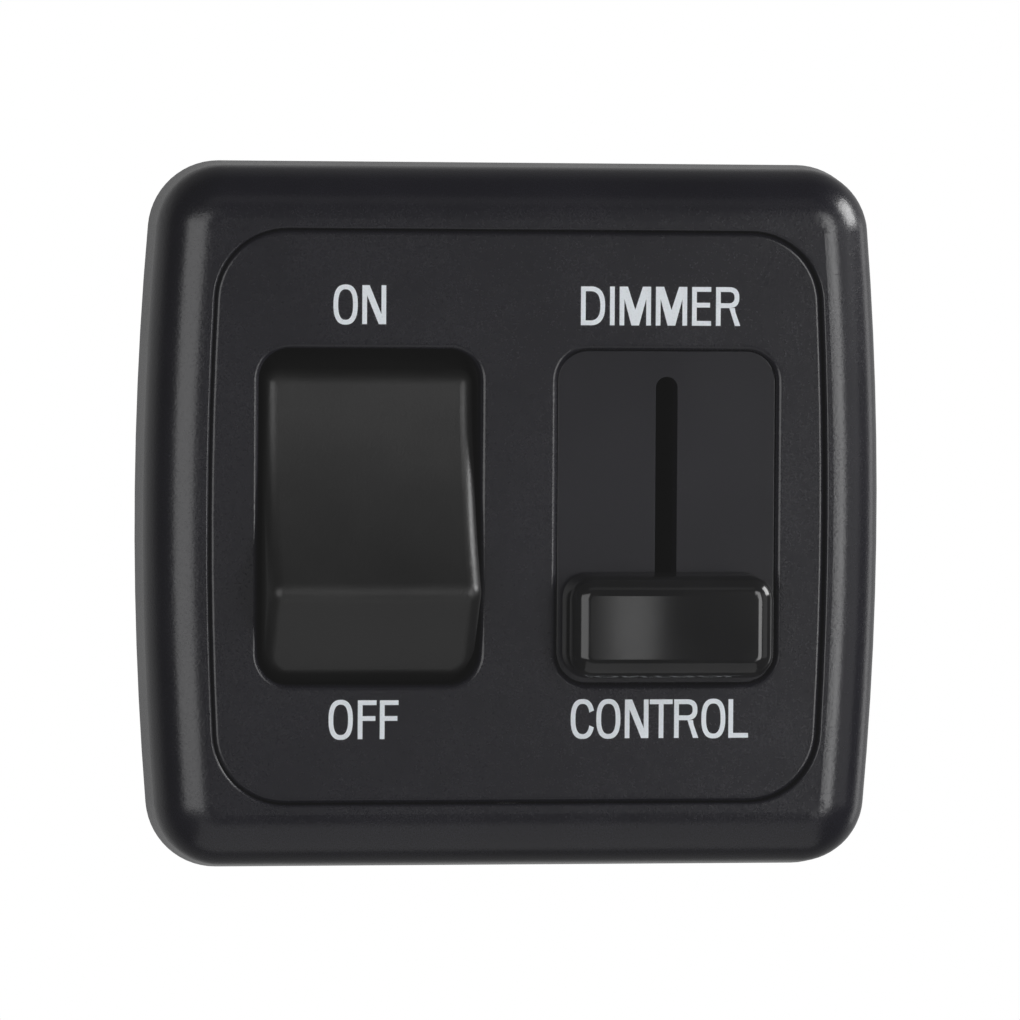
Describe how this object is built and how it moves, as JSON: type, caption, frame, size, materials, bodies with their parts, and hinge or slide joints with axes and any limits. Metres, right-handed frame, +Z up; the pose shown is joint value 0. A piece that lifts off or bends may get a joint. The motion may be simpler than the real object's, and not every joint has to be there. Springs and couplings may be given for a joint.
{
  "type": "rocker dimmer switch",
  "caption": "Black low-voltage wall plate with an on/off rocker beside a slide dimmer, a clip-on rounded frame, and its switch and dimmer circuit in a box behind.",
  "frame": {"origin": "centre of the plate on the wall's surface, midway between the two screw holes", "axes": "+X to the right as seen from the front, +Y into the wall, +Z up"},
  "size_m": [0.07, 0.0477, 0.0658],
  "materials": {
    "frame_plastic": "moulded black plastic with a fine satin grain",
    "rocker_plastic": "moulded black plastic with a fine matte grain",
    "insert_plastic": "smooth moulded black plastic",
    "knob_plastic": "polished black plastic",
    "housing_plastic": "plain moulded black plastic",
    "pale_plastic": "plain moulded pale plastic",
    "steel": "bright zinc plated steel",
    "black_steel": "blackened sheet steel",
    "brass": "plain stamped brass",
    "contact_silver": "plain silver contact metal",
    "board_green": "glass laminate with green lacquer",
    "track_brown": "paper laminate",
    "sink_aluminium": "extruded aluminium",
    "can_aluminium": "drawn aluminium can",
    "component_black": "moulded black resin",
    "resistor_body": "lacquered body"
  },
  "bodies": {
    "base": {"face_frame": "frame_plastic", "base_plate": "frame_plastic", "rocker_housing": "housing_plastic", "fixed_contact": "contact_silver", "common_terminal": "brass", "load_terminal": "brass", "dimmer_insert": "insert_plastic", "slide_pot_case": "black_steel", "track_board": "track_brown", "pot_pins": "brass", "circuit_board": "board_green", "heat_sink": "sink_aluminium", "power_transistor": "component_black", "transistor_screw": "steel", "filter_capacitor": "can_aluminium", "control_chip": "component_black", "resistors": "resistor_body", "terminal_tabs": "brass", "rear_cover": "housing_plastic", "cover_screws": "steel"},
    "rocker": {"rocker_paddle": "rocker_plastic", "plunger": "pale_plastic", "plunger_spring": "steel"},
    "seesaw": {"contact_bridge": "brass", "moving_contact": "contact_silver"},
    "slider": {"slider_knob": "knob_plastic", "slider_lever": "steel", "wiper_carriage": "pale_plastic", "wiper_contact": "brass"}
  },
  "joints": [
    {"name": "rocker_pivot", "type": "hinge", "parent": "base", "child": "rocker", "pos_m": [-0.01392, 0.0002, 0], "axis": [1, 0, 0], "range_deg": [0, 36]},
    {"name": "seesaw_pivot", "type": "hinge", "parent": "base", "child": "seesaw", "pos_m": [-0.01392, 0.0097, 0], "axis": [-1, 0, 0], "range_deg": [0, 18]},
    {"name": "slider_track", "type": "slide", "parent": "base", "child": "slider", "axis": [0, 0, 1], "range_m": [0, 0.02007]}
  ],
  "couplings": [
    {"joint": "seesaw_pivot", "follows": "rocker_pivot", "ratio": 0.5}
  ]
}
